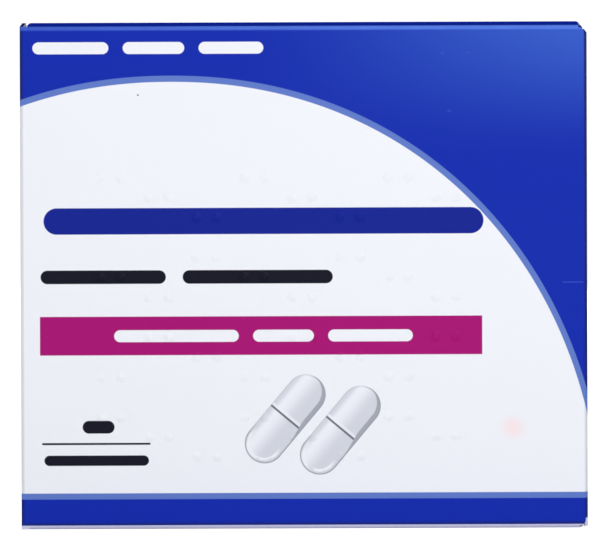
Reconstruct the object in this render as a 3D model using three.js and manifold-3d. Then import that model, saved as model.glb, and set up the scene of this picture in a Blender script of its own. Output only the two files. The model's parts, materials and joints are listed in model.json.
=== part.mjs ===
// A tuck-end carton of painkiller tablets, with its two blister strips and its folded leaflet.
// Millimetres, +Z up. The origin is under the middle of the carton, on the surface it stands on.
// The printed face looks along -Y. The two end lids close the carton at -X and +X.

import * as THREE from "three";
import { mergeVertices } from "three/addons/utils/BufferGeometryUtils.js";
import Module from "manifold-3d";

const wasm = await Module();
wasm.setup();

// Driving dimensions: the tablet
const TABLET_LENGTH = 17.5;
const TABLET_WIDTH = 7.2;
const TABLET_THICKNESS = 5.2;
const TABLET_BAND = 2.4;
const TABLET_RIDGE = 0.5;
const SCORE_WIDTH = 0.9;
const SCORE_DEPTH = 0.45;

// Driving dimensions: the blister strip
const COLUMNS = 4;
const ROWS = 2;
const FILM = 0.3;
const FOIL = 0.1;
const SEAL_GAP = 0.02;
const POCKET_CLEARANCE = 0.15;
const POCKET_HEADROOM = 0.1;
const POCKET_DRAFT = 0.5;
const POCKET_ROUNDING = 1.3;
const COLUMN_GAP = 6.2;
const ROW_GAP = 8.7;
const SIDE_MARGIN = 5;
const END_MARGIN = 6;
const STRIP_CORNER = 3;

// Driving dimensions: the leaflet
const PAPER = 0.12;
const LAYER_GAP = 0.06;
const LAYERS = 7;
const LEAFLET_INSET = 2.5;
const LEAFLET_GAP = 0.15;

// Driving dimensions: the carton board and its folds
const BOARD = 0.45;
const FOLD_RADIUS = 0.3;
const TUCK_ROOM = 2.98;
const END_ROOM = 1.8;
const FLOOR_GAP = 0.2;
const HEAD_ROOM = 2.4;
const GLUE_FLAP_WIDTH = 11;
const GLUE_FLAP_BEVEL = 3;
const GLUE_SINK = 0.02;
const SEAM_SETBACK = 0.3;
const EDGE_SETBACK = 0.3;
const EDGE_RELIEF = 0.3;
const EDGE_CORNER = 0.95;
const DUST_FLAP_LENGTH = 18;
const DUST_FLAP_SHOULDER = 2.5;
const DUST_FLAP_CHAMFER = 4;
const DUST_FLAP_CLEARANCE = 0.45;

// Driving dimensions: the lids
const CLOSURE_GAP = 0.3;
const HINGE_GAP = 0.12;
const LID_INSET = 0.2;
const TUCK_SHOULDER = 0.9;
const TUCK_INSET = 2;
const TUCK_CORNER = 4;
const TUCK_CLEARANCE = 0.25;
const CONTENT_CLEARANCE = 0.2;
const TUCK_FOLD_RADIUS = 0.5;

// Driving dimensions: the raised reading dots on the printed face
const DOT_RADIUS = 0.8;
const DOT_HEIGHT = 0.2;
const DOT_PITCH = 2.5;
const CELL_PITCH = 6;
const LINE_PITCH = 10;
const CELLS = 8;
const LINES = 4;
const DOTS_FROM_LEFT = 10;
const DOTS_FROM_BASE = 44;

// How finely the round parts are cut into flats
const FOLD_STEPS = 2;
const TUCK_STEPS = 6;
const ROUND_END_STEPS = 4;
const STADIUM_STEPS = 7;
const CORNER_STEPS = 4;
const DOT_STEPS = 10;
const OVERLAP = 1;

// Sizes that follow, from the tablet outwards
const pocketWidth = TABLET_WIDTH + 2 * POCKET_CLEARANCE;
const pocketLength = TABLET_LENGTH + 2 * POCKET_CLEARANCE;
const pocketDepth = TABLET_THICKNESS + 2 * POCKET_HEADROOM;
const footWidth = pocketWidth + 2 * (FILM + POCKET_DRAFT);
const footLength = pocketLength + 2 * (FILM + POCKET_DRAFT);
const columnPitch = footWidth + COLUMN_GAP;
const rowPitch = footLength + ROW_GAP;
const stripWidth = (COLUMNS - 1) * columnPitch + footWidth + 2 * SIDE_MARGIN;
const stripHeight = (ROWS - 1) * rowPitch + footLength + 2 * END_MARGIN;
const stripThickness = FOIL + SEAL_GAP + pocketDepth + FILM;
const leafletThickness = LAYERS * PAPER + (LAYERS - 1) * LAYER_GAP;
const contentHalf = leafletThickness / 2 + LEAFLET_GAP + stripThickness;

const boxWidth = stripWidth + 2 * (END_ROOM + BOARD + CLOSURE_GAP + BOARD);
const boxDepth = 2 * (contentHalf + TUCK_ROOM + BOARD);
const boxHeight = BOARD + FLOOR_GAP + stripHeight + HEAD_ROOM + BOARD;
const contentBase = BOARD + FLOOR_GAP;
const contentMiddle = contentBase + stripHeight / 2;

const halfBoard = BOARD / 2;
const foldOutside = FOLD_RADIUS + halfBoard;
const hinge = new THREE.Vector2(boxWidth / 2 - halfBoard, boxDepth / 2 - halfBoard);
const dustPlane = boxWidth / 2 - BOARD - CLOSURE_GAP - halfBoard;
const tubeEnd = dustPlane - FOLD_RADIUS;
const tuckRadius = hinge.y + boxDepth / 2 - BOARD - TUCK_CLEARANCE - halfBoard;
const tuckReach = Math.sqrt(
  (tuckRadius - halfBoard) ** 2 - (hinge.y + contentHalf + CONTENT_CLEARANCE) ** 2,
);

// A prism stands on one of these planes: its profile's two axes, then the axis it runs along
const AXES = {
  xy: new THREE.Matrix4(),
  yz: new THREE.Matrix4().set(0, 0, 1, 0, 1, 0, 0, 0, 0, 1, 0, 0, 0, 0, 0, 1),
  zx: new THREE.Matrix4().set(0, 1, 0, 0, 0, 0, 1, 0, 1, 0, 0, 0, 0, 0, 0, 1),
};

function prism(plane, shape, from, to) {
  const options = { depth: to - from, bevelEnabled: false, curveSegments: CORNER_STEPS };
  const geometry = new THREE.ExtrudeGeometry(shape, options);
  return geometry.translate(0, 0, from).applyMatrix4(AXES[plane]);
}

function polygon(points) {
  return new THREE.Shape(points.map(([u, v]) => new THREE.Vector2(u, v)));
}

// A rectangle with each corner cut round to its own radius, in the order of the quadrants
function roundedRectangle(u0, v0, u1, v1, radii) {
  const [a, b, c, d] = radii;
  const shape = new THREE.Shape();
  shape.moveTo(u1, v1 - a);
  if (a > 0) shape.absarc(u1 - a, v1 - a, a, 0, Math.PI / 2, false);
  shape.lineTo(u0 + b, v1);
  if (b > 0) shape.absarc(u0 + b, v1 - b, b, Math.PI / 2, Math.PI, false);
  shape.lineTo(u0, v0 + c);
  if (c > 0) shape.absarc(u0 + c, v0 + c, c, Math.PI, 1.5 * Math.PI, false);
  shape.lineTo(u1 - d, v0);
  if (d > 0) shape.absarc(u1 - d, v0 + d, d, 1.5 * Math.PI, 2 * Math.PI, false);
  return shape;
}

// The section of a sheet that follows a line through its middle, with its start square or round
function sheetSection(path, thickness, steps, roundStart = false) {
  const middle = [];
  for (const point of path.getPoints(steps)) {
    if (!middle.length || middle.at(-1).distanceTo(point) > 1e-3) middle.push(point);
  }
  const sides = middle.map((point, i) => {
    const before = middle[Math.max(i - 1, 0)];
    const after = middle[Math.min(i + 1, middle.length - 1)];
    const into = point.clone().sub(i ? before : point);
    const out = after.clone().sub(i < middle.length - 1 ? point : after);
    const first = i ? into.normalize() : out.clone().normalize();
    const second = i < middle.length - 1 ? out.normalize() : first;
    const along = first.clone().add(second).normalize();
    const mitre = thickness / 2 / along.dot(first);
    return new THREE.Vector2(-along.y, along.x).multiplyScalar(mitre);
  });
  const left = middle.map((point, i) => point.clone().add(sides[i]));
  const right = middle.map((point, i) => point.clone().sub(sides[i])).reverse();
  const start = [];
  for (let i = 1; roundStart && i < ROUND_END_STEPS; i++) {
    const turn = (i * Math.PI) / ROUND_END_STEPS;
    start.push(middle[0].clone().add(sides[0].clone().negate().rotateAround(new THREE.Vector2(), -turn)));
  }
  return new THREE.Shape([...left, ...right, ...start]);
}

function solid(geometry) {
  const bare = new THREE.BufferGeometry();
  bare.setAttribute("position", geometry.getAttribute("position"));
  if (geometry.index) bare.setIndex(geometry.index);
  const merged = mergeVertices(bare, 1e-4);
  const corners = [...merged.index.array];
  const triangles = [];
  for (let i = 0; i < corners.length; i += 3) {
    const [a, b, c] = corners.slice(i, i + 3);
    if (a !== b && b !== c && c !== a) triangles.push(a, b, c);
  }
  const mesh = new wasm.Mesh({
    numProp: 3,
    vertProperties: new Float32Array(merged.attributes.position.array),
    triVerts: new Uint32Array(triangles),
  });
  return new wasm.Manifold(mesh);
}

function geometryOf(made) {
  const mesh = made.getMesh();
  const geometry = new THREE.BufferGeometry();
  geometry.setAttribute("position", new THREE.BufferAttribute(mesh.vertProperties, 3));
  geometry.setIndex(new THREE.BufferAttribute(mesh.triVerts, 1));
  geometry.computeVertexNormals();
  return geometry;
}

function joined(geometries) {
  return geometries.map(solid).reduce((whole, piece) => whole.add(piece));
}

// Half a turn about the upright axis carries everything at one end to the other end
function bothEnds(geometries) {
  return geometries.flatMap((geometry) => [geometry, geometry.clone().rotateZ(Math.PI)]);
}

// A stadium of one width and length, as points round it, at one depth
function stadium(width, length, depth) {
  const points = [];
  const straight = (length - width) / 2;
  for (const [middle, from] of [[straight, 0], [-straight, Math.PI]]) {
    for (let i = 0; i <= STADIUM_STEPS; i++) {
      const turn = from + (i * Math.PI) / STADIUM_STEPS;
      points.push([(width / 2) * Math.cos(turn), depth, middle + (width / 2) * Math.sin(turn)]);
    }
  }
  return points;
}

// A closed solid through rings of equally many points, stacked along +Y
function loft(rings) {
  const count = rings[0].length;
  const index = [];
  for (let r = 0; r + 1 < rings.length; r++) {
    for (let i = 0; i < count; i++) {
      const next = (i + 1) % count;
      const [a, b] = [r * count + i, r * count + next];
      index.push(a, a + count, b, b, a + count, b + count);
    }
  }
  const last = (rings.length - 1) * count;
  for (let i = 1; i + 1 < count; i++) {
    index.push(0, i, i + 1, last, last + i + 1, last + i);
  }
  const geometry = new THREE.BufferGeometry();
  const positions = new Float32Array(rings.flat(2));
  geometry.setAttribute("position", new THREE.BufferAttribute(positions, 3));
  geometry.setIndex(index);
  return geometry;
}

// The tablet: a scored, capsule-shaped tablet with a straight band and two domed faces
function tabletGeometry() {
  const dome = (TABLET_THICKNESS - TABLET_BAND) / 2;
  const deepest = TABLET_WIDTH / 2 - TABLET_RIDGE;
  const face = [0, 0.12, 0.45, 1].map((share) => {
    const inset = deepest * share;
    const rise = dome * Math.sqrt(1 - (1 - share) ** 2);
    return { width: TABLET_WIDTH - 2 * inset, length: TABLET_LENGTH - 2 * inset, rise };
  });
  const ring = (f, side) => stadium(f.width, f.length, side * (TABLET_BAND / 2 + f.rise));
  const body = loft([...face.map((f) => ring(f, -1)).reverse(), ...face.map((f) => ring(f, 1))]);
  const faceY = TABLET_THICKNESS / 2;
  const groove = polygon([
    [-SCORE_WIDTH / 2, -faceY - OVERLAP],
    [SCORE_WIDTH / 2, -faceY - OVERLAP],
    [SCORE_WIDTH / 2, -faceY],
    [0, -faceY + SCORE_DEPTH],
    [-SCORE_WIDTH / 2, -faceY],
  ]);
  const across = TABLET_WIDTH / 2 + OVERLAP;
  const score = prism("xy", groove, -across, across).rotateY(Math.PI / 2);
  return geometryOf(solid(body).subtract(solid(score)));
}

// Where each pocket's middle lies on the strip
function pocketPlaces() {
  const places = [];
  for (let row = 0; row < ROWS; row++) {
    for (let column = 0; column < COLUMNS; column++) {
      const x = (column - (COLUMNS - 1) / 2) * columnPitch;
      const z = (row - (ROWS - 1) / 2) * rowPitch;
      places.push({ x, z, name: `${row + 1}_${column + 1}` });
    }
  }
  return places;
}

// A pocket's form, grown by a wall: it narrows away from the foil and its far end is round
function pocketForm(grow, from, deep) {
  const round = POCKET_ROUNDING;
  const shoulder = deep - round;
  const rings = [[from, POCKET_DRAFT], [shoulder, 0]];
  for (const turn of [Math.PI / 4, Math.PI / 2]) {
    rings.push([shoulder + round * Math.sin(turn), -round * (1 - Math.cos(turn))]);
  }
  const stacked = rings.map(([depth, wider]) => {
    const extra = 2 * (grow + wider);
    return stadium(pocketWidth + extra, pocketLength + extra, -depth);
  });
  return loft(stacked.reverse());
}

// The clear tray: a flange with pockets pressed out of it, open towards the foil at y = 0
function trayGeometry() {
  const [w, h] = [stripWidth / 2, stripHeight / 2];
  const outline = roundedRectangle(-h, -w, h, w, Array(4).fill(STRIP_CORNER));
  const places = pocketPlaces();
  const outside = places.map(({ x, z }) => pocketForm(FILM, 0, pocketDepth + FILM).translate(x, 0, z));
  const inside = places.map(({ x, z }) => pocketForm(0, -OVERLAP, pocketDepth).translate(x, 0, z));
  const whole = joined([prism("zx", outline, -FILM, 0), ...outside]);
  return geometryOf(inside.map(solid).reduce((left, hole) => left.subtract(hole), whole));
}

function foilGeometry() {
  const [w, h] = [stripWidth / 2, stripHeight / 2];
  const outline = roundedRectangle(-h, -w, h, w, Array(4).fill(STRIP_CORNER));
  return prism("zx", outline, SEAL_GAP, SEAL_GAP + FOIL);
}

// The leaflet: one sheet folded to and fro between the strips
function leafletGeometry() {
  const pitch = PAPER + LAYER_GAP;
  const reach = stripWidth / 2 - LEAFLET_INSET - pitch / 2;
  const path = new THREE.Path();
  let y = -(leafletThickness - PAPER) / 2;
  path.moveTo(-reach, y);
  for (let layer = 0; layer < LAYERS; layer++) {
    const side = layer % 2 ? -1 : 1;
    path.lineTo(side * reach, y);
    if (layer < LAYERS - 1) {
      path.absarc(side * reach, y + pitch / 2, pitch / 2, -Math.PI / 2, Math.PI / 2, side < 0);
    }
    y += pitch;
  }
  const section = sheetSection(path, PAPER, FOLD_STEPS);
  return prism("xy", section, contentBase, contentBase + stripHeight - LEAFLET_INSET);
}

// The sleeve's section: top, front, bottom and back in one line, from the seam forwards
function sleeveGeometry() {
  const y = boxDepth / 2 - halfBoard;
  const [low, high] = [halfBoard, boxHeight - halfBoard];
  const r = FOLD_RADIUS;
  const path = new THREE.Path();
  path.moveTo(boxDepth / 2 - SEAM_SETBACK, high);
  path.lineTo(-y + r, high);
  path.absarc(-y + r, high - r, r, Math.PI / 2, Math.PI, false);
  path.lineTo(-y, low + r);
  path.absarc(-y + r, low + r, r, Math.PI, 1.5 * Math.PI, false);
  path.lineTo(y - r, low);
  path.absarc(y - r, low + r, r, 1.5 * Math.PI, 2 * Math.PI, false);
  path.lineTo(y, high - BOARD - r);
  return prism("yz", sheetSection(path, BOARD, FOLD_STEPS), -tubeEnd, tubeEnd);
}

// The flap that folds in from the back's top edge and is glued under the top panel
function glueFlap() {
  const y = boxDepth / 2 - halfBoard;
  const under = boxHeight - halfBoard - BOARD + GLUE_SINK;
  const r = FOLD_RADIUS;
  const path = new THREE.Path();
  path.moveTo(y, under - r - OVERLAP);
  path.lineTo(y, under - r);
  path.absarc(y - r, under - r, r, 0, Math.PI / 2, false);
  path.lineTo(y - GLUE_FLAP_WIDTH, under);
  const band = prism("yz", sheetSection(path, BOARD, FOLD_STEPS), -tubeEnd, tubeEnd);
  const outline = polygon([
    [-tubeEnd, boxDepth],
    [-tubeEnd, y - r],
    [-tubeEnd + GLUE_FLAP_BEVEL, y - GLUE_FLAP_WIDTH - OVERLAP],
    [tubeEnd - GLUE_FLAP_BEVEL, y - GLUE_FLAP_WIDTH - OVERLAP],
    [tubeEnd, y - r],
    [tubeEnd, boxDepth],
  ]);
  return geometryOf(solid(band).intersect(solid(prism("xy", outline, 0, boxHeight + OVERLAP))));
}

// Beyond the sleeve, the panel with the free edge runs on past the dust flaps to a round-cornered edge.
// There it is cut along the folds' scores, so it stands a little taller than the sleeve's flat face.
function freeEdge() {
  const edge = boxWidth / 2 - EDGE_SETBACK;
  const [low, high] = [EDGE_RELIEF, boxHeight - EDGE_RELIEF];
  const round = edge - EDGE_CORNER;
  const outline = new THREE.Shape();
  outline.moveTo(boxHeight - foldOutside, tubeEnd - OVERLAP);
  outline.lineTo(boxHeight - foldOutside, tubeEnd);
  outline.lineTo(high, tubeEnd);
  outline.lineTo(high, round);
  outline.absarc(high - EDGE_CORNER, round, EDGE_CORNER, 0, Math.PI / 2, false);
  outline.lineTo(low + EDGE_CORNER, edge);
  outline.absarc(low + EDGE_CORNER, round, EDGE_CORNER, Math.PI / 2, Math.PI, false);
  outline.lineTo(low, tubeEnd);
  outline.lineTo(foldOutside, tubeEnd);
  outline.lineTo(foldOutside, tubeEnd - OVERLAP);
  return prism("zx", outline, -boxDepth / 2, -boxDepth / 2 + BOARD);
}

// The panel that carries the lid runs on to the lid's fold
function hingeEdge() {
  const edge = hinge.x - halfBoard - HINGE_GAP;
  const [low, high] = [LID_INSET, boxHeight - LID_INSET];
  const outline = polygon([
    [low, tubeEnd - OVERLAP],
    [high, tubeEnd - OVERLAP],
    [high, edge],
    [low, edge],
  ]);
  return prism("zx", outline, boxDepth / 2 - BOARD, boxDepth / 2);
}

// A dust flap folds in from the top or the bottom panel and lies just under the lid
function dustFlap(side) {
  const middle = boxHeight / 2;
  const panel = side * (middle - halfBoard);
  const r = FOLD_RADIUS;
  const path = new THREE.Path();
  path.moveTo(middle + panel, tubeEnd - OVERLAP);
  path.lineTo(middle + panel, tubeEnd);
  const arcFrom = side > 0 ? 0 : Math.PI;
  path.absarc(middle + panel - side * r, tubeEnd, r, arcFrom, Math.PI / 2, side < 0);
  path.lineTo(middle + side * (middle - DUST_FLAP_LENGTH), dustPlane);
  const halfWide = boxDepth / 2 - foldOutside;
  const tuckSide = -(boxDepth / 2 - BOARD - TUCK_CLEARANCE - BOARD - DUST_FLAP_CLEARANCE);
  const hingeSide = boxDepth / 2 - BOARD - CLOSURE_GAP;
  const at = (below) => middle + side * (middle - below);
  const tip = DUST_FLAP_LENGTH + OVERLAP;
  const outline = polygon([
    [-halfWide, at(-OVERLAP)],
    [-halfWide, at(0)],
    [tuckSide, at(foldOutside)],
    [tuckSide, at(DUST_FLAP_LENGTH - DUST_FLAP_CHAMFER)],
    [tuckSide + DUST_FLAP_CHAMFER / 2, at(DUST_FLAP_LENGTH)],
    [tuckSide + DUST_FLAP_CHAMFER / 2, at(tip)],
    [hingeSide - DUST_FLAP_CHAMFER / 2, at(tip)],
    [hingeSide - DUST_FLAP_CHAMFER / 2, at(DUST_FLAP_LENGTH)],
    [hingeSide, at(DUST_FLAP_LENGTH - DUST_FLAP_CHAMFER)],
    [hingeSide, at(DUST_FLAP_SHOULDER)],
    [halfWide, at(foldOutside)],
    [halfWide, at(-OVERLAP)],
  ]);
  const band = prism("zx", sheetSection(path, BOARD, FOLD_STEPS), -boxDepth / 2, boxDepth / 2);
  const plate = prism("yz", outline, 0, boxWidth);
  return geometryOf(solid(band).intersect(solid(plate)));
}

// Raised dots in cells of two by three, each cell with one level pair: a plain wave that spells nothing
function readingDots() {
  const profile = [
    new THREE.Vector2(0, -halfBoard),
    new THREE.Vector2(DOT_RADIUS, -halfBoard),
    new THREE.Vector2(DOT_RADIUS, 0),
    new THREE.Vector2(DOT_RADIUS * 0.6, DOT_HEIGHT * 0.75),
    new THREE.Vector2(0, DOT_HEIGHT),
  ];
  const dots = [];
  for (let line = 0; line < LINES; line++) {
    for (let cell = 0; cell < CELLS; cell++) {
      const row = (cell + line) % 3;
      for (let column = 0; column < 2; column++) {
        const x = -boxWidth / 2 + DOTS_FROM_LEFT + cell * CELL_PITCH + column * DOT_PITCH;
        const z = DOTS_FROM_BASE - line * LINE_PITCH - row * DOT_PITCH;
        const dot = new THREE.LatheGeometry(profile, DOT_STEPS).rotateX(Math.PI);
        dots.push(dot.translate(x, -boxDepth / 2, z));
      }
    }
  }
  return dots;
}

function cartonGeometry() {
  const ends = bothEnds([freeEdge(), hingeEdge(), dustFlap(1), dustFlap(-1)]);
  return geometryOf(joined([sleeveGeometry(), glueFlap(), ...ends, ...readingDots()]));
}

// A lid: the end panel and the tuck in one folded piece, hinged on the back panel's edge.
// The tuck bends on a circle about the hinge, so it slides out past the front panel's edge.
function lidGeometry() {
  const tip = Math.asin(tuckReach / tuckRadius);
  const r = TUCK_FOLD_RADIUS - halfBoard;
  const path = new THREE.Path();
  const foldTurn = -Math.asin(r / (tuckRadius - r));
  const foldY = hinge.y - Math.sqrt((tuckRadius - r) ** 2 - r ** 2);
  path.moveTo(hinge.x, hinge.y);
  path.lineTo(hinge.x, foldY);
  path.absarc(hinge.x - r, foldY, r, 0, foldTurn - Math.PI / 2, true);
  const tuck = new THREE.Path();
  tuck.absarc(hinge.x, hinge.y, tuckRadius, foldTurn - Math.PI / 2, -Math.PI / 2 - tip, true);
  path.curves.push(...tuck.curves);
  const section = sheetSection(path, BOARD, TUCK_STEPS / 2, true);
  const sheet = prism("xy", section, LID_INSET, boxHeight - LID_INSET);
  const [low, high] = [LID_INSET, boxHeight - LID_INSET];
  const [inner, corner] = [hinge.x - tuckReach - BOARD, TUCK_CORNER];
  const [tuckLow, tuckHigh] = [low + TUCK_INSET, high - TUCK_INSET];
  const tuckTop = hinge.x - halfBoard;
  const outline = new THREE.Shape();
  outline.moveTo(low, boxWidth);
  outline.lineTo(low, tuckTop);
  outline.lineTo(low + TUCK_SHOULDER, tuckTop);
  outline.lineTo(tuckLow, tuckTop - TUCK_INSET);
  outline.lineTo(tuckLow, inner + corner);
  outline.absarc(tuckLow + corner, inner + corner, corner, Math.PI, 1.5 * Math.PI, false);
  outline.lineTo(tuckHigh - corner, inner);
  outline.absarc(tuckHigh - corner, inner + corner, corner, 1.5 * Math.PI, 2 * Math.PI, false);
  outline.lineTo(tuckHigh, tuckTop - TUCK_INSET);
  outline.lineTo(high - TUCK_SHOULDER, tuckTop);
  outline.lineTo(high, tuckTop);
  outline.lineTo(high, boxWidth);
  const plate = prism("zx", outline, -boxDepth, boxDepth);
  return geometryOf(solid(sheet).intersect(solid(plate)));
}

const materials = {
  board: new THREE.MeshStandardMaterial({ color: 0xeef0f8, roughness: 0.45, metalness: 0 }),
  lid: new THREE.MeshStandardMaterial({ color: 0x1733ac, roughness: 0.45, metalness: 0 }),
  film: new THREE.MeshStandardMaterial({
    color: 0xe6edf2,
    roughness: 0.12,
    metalness: 0,
    transparent: true,
    opacity: 0.35,
  }),
  foil: new THREE.MeshStandardMaterial({ color: 0xc4c8cc, roughness: 0.3, metalness: 1 }),
  tablet: new THREE.MeshStandardMaterial({ color: 0xf2f1ec, roughness: 0.6, metalness: 0 }),
  paper: new THREE.MeshStandardMaterial({ color: 0xf0efea, roughness: 0.85, metalness: 0 }),
};

function part(name, geometry, material) {
  const mesh = new THREE.Mesh(geometry, material);
  mesh.name = name;
  return mesh;
}

// One blister strip with its tablets, standing with its foil towards the leaflet
function blisterStrip(label, tray, foil, tablet) {
  const strip = new THREE.Group();
  strip.add(part(`${label}_blister_tray`, tray, materials.film));
  strip.add(part(`${label}_blister_foil`, foil, materials.foil));
  for (const { x, z, name } of pocketPlaces()) {
    const piece = part(`${label}_tablet_${name}`, tablet, materials.tablet);
    piece.position.set(x, -pocketDepth / 2, z);
    strip.add(piece);
  }
  return strip;
}

const pack = new THREE.Group();
pack.add(part("carton", cartonGeometry(), materials.board));

const lid = lidGeometry();
const rightLid = part("right_lid", lid, materials.lid);
const leftLid = part("left_lid", lid, materials.lid);
leftLid.rotation.z = Math.PI;
pack.add(rightLid, leftLid);

pack.add(part("leaflet", leafletGeometry(), materials.paper));

const [tray, foil, tablet] = [trayGeometry(), foilGeometry(), tabletGeometry()];
const foilFace = leafletThickness / 2 + LEAFLET_GAP + FOIL + SEAL_GAP;
const frontStrip = blisterStrip("front", tray, foil, tablet);
frontStrip.position.set(0, -foilFace, contentMiddle);
const backStrip = blisterStrip("back", tray, foil, tablet);
backStrip.position.set(0, foilFace, contentMiddle);
backStrip.rotation.z = Math.PI;
pack.add(frontStrip, backStrip);

export default pack;
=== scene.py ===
# The looks of a tuck-end carton of tablets: its folded, printed board, its strips and its leaflet.
# Metres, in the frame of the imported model: +Z up, the main printed panel faces -Y.

import json
import math

import bmesh
import bpy
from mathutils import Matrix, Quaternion, Vector


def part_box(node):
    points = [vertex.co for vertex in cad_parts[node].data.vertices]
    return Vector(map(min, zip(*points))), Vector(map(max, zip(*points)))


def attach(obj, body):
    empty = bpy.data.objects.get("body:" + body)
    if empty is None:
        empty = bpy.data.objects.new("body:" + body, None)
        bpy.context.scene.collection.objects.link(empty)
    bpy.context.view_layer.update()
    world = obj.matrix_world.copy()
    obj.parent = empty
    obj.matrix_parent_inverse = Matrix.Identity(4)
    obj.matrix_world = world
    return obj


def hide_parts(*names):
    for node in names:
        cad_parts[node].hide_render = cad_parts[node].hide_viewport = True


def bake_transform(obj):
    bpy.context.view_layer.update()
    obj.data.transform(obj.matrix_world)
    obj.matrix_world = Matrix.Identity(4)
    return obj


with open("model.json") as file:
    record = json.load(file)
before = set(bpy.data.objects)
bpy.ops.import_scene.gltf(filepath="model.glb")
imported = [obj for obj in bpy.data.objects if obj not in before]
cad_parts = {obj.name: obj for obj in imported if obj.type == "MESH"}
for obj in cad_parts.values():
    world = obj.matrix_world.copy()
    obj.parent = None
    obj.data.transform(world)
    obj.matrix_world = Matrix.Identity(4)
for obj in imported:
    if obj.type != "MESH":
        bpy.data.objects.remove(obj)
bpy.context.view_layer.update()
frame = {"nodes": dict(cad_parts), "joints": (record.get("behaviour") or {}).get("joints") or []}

MM = 0.001
QUARTER = math.pi / 2

# Points that fall on the same step of a grid with this many steps to the metre count as one point
GRID = 1e7
SAME_PLACE = 1 / GRID


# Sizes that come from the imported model

carton_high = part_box("carton")[1]
lid_low, lid_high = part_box("right_lid")
joints = {joint["name"]: joint for joint in frame["joints"]}
hinge = Vector(joints["right_lid_hinge"]["pos_m"])

HALF_WIDTH = lid_high.x
BACK = carton_high.y
FRONT = -BACK
HEIGHT = carton_high.z
BOARD = 0.45 * MM
HALF_BOARD = BOARD / 2
FOLD = 0.3 * MM
FREE_EDGE = carton_high.x
MIDDLE = Vector((0, 0, HEIGHT / 2))


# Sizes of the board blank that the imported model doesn't name

LID_GAP = 0.08 * MM
EDGE_RELIEF = 0.3 * MM
EDGE_CORNER = 0.7 * MM
FLAP_LENGTH = 18 * MM
FLAP_CHAMFER = 4 * MM
TUCK_SIDE_CUT = 1.6 * MM
HINGE_SIDE_CUT = 0.75 * MM
GLUE_FLAP = 11 * MM
GLUE_BEVEL = 3 * MM
SEAM_SETBACK = 0.3 * MM
TUCK_FOLD = 0.5 * MM
TUCK_SHOULDER = 0.9 * MM
TUCK_INSET = 2 * MM
TUCK_CORNER = 4 * MM
HINGE_GAP = 0.12 * MM
HINGE_SCORE = HALF_BOARD / 3
LID_SINK = 0.8 * MM
BOW = 0.12 * MM
BOW_FULLNESS = 0.7
TUBE_END = HALF_WIDTH - 2 * BOARD - LID_GAP + HALF_BOARD - FOLD
FLAP_PLANE = TUBE_END + FOLD


# How finely the pieces are divided

ROUND_STEPS = 8
LENGTH_STEPS = 48
HEIGHT_STEPS = 36
DEPTH_STEPS = 10
EDGE_STEPS = 6
HINGE_EDGE_STEPS = 3
FLAP_STEPS = 12
FLAP_FOLD_STEPS = 6
LID_STEPS = 16
TUCK_STEPS = 24
LID_HEIGHT_STEPS = 32
BEND_STEPS = 10
BEND_HEIGHT_STEPS = 24
END_CROWD = 0.3
DOT_RINGS = 6
DOT_SEGMENTS = 20
STADIUM_STEPS = 20
FOOT_STEPS = 5
ROUNDING_STEPS = 6

# Edges sharper than this stay sharp: on board and tablets, and on film
SHARP = math.radians(40)
FILM_SHARP = math.radians(35)


# Meshes

def new_object(name, vertices, faces, materials, smooth=True):
    mesh = bpy.data.meshes.new(name)
    mesh.from_pydata(vertices, [], faces)
    mesh.validate()
    mesh.update()
    made = bpy.data.objects.new(name, mesh)
    bpy.context.scene.collection.objects.link(made)
    for material in materials:
        mesh.materials.append(material)
    if smooth:
        mesh.shade_smooth()
    return made


def apply_modifiers(obj):
    graph = bpy.context.evaluated_depsgraph_get()
    mesh = bpy.data.meshes.new_from_object(obj.evaluated_get(graph))
    obj.modifiers.clear()
    obj.data = mesh


def face_out(mesh, middle=None):
    """Turns a closed mesh's faces outwards, or an open sheet's faces away from a middle point."""
    shape = bmesh.new()
    shape.from_mesh(mesh)
    bmesh.ops.recalc_face_normals(shape, faces=shape.faces)
    if middle is not None:
        outward = sum(f.calc_area() * f.normal.dot(f.calc_center_median() - middle) for f in shape.faces)
        if outward < 0:
            bmesh.ops.reverse_faces(shape, faces=shape.faces)
    shape.to_mesh(mesh)
    shape.free()


def settle(obj, sharp, thickness=0.0):
    """Faces turned outwards, the film made thick, and edges sharper than an angle left sharp."""
    face_out(obj.data)
    if thickness:
        thick = obj.modifiers.new("film", "SOLIDIFY")
        thick.thickness = thickness
        thick.offset = 0
        apply_modifiers(obj)
    obj.data.shade_smooth()
    obj.data.set_sharp_from_angle(angle=sharp)


def arc(centre, radius, start, end, steps):
    turns = [start + (end - start) * i / steps for i in range(steps + 1)]
    return [(centre[0] + radius * math.cos(t), centre[1] + radius * math.sin(t)) for t in turns]


def line(start, end, steps):
    ends = list(zip(start, end))
    return [tuple(a + (b - a) * i / steps for a, b in ends) for i in range(steps + 1)]


def chain(*runs):
    """Joins runs of points end to end and leaves out the points that they share."""
    points = []
    for run in runs:
        for point in run:
            if not points or math.dist(points[-1], point) > SAME_PLACE:
                points.append(point)
    return points


def spread(low, high, steps, crowd=0.0):
    """Steps from low to high, crowded towards both ends where crowd is near 1."""
    even = [i / steps for i in range(steps + 1)]
    eased = [t * (1 - crowd) + crowd * (1 - math.cos(math.pi * t)) / 2 for t in even]
    return [low + (high - low) * t for t in eased]


# The carton's material slots: printed outside, bare inside, cut edges and the printed top
PRINT_SLOT, INSIDE_SLOT, CUT_SLOT, TOP_SLOT = range(4)


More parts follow.
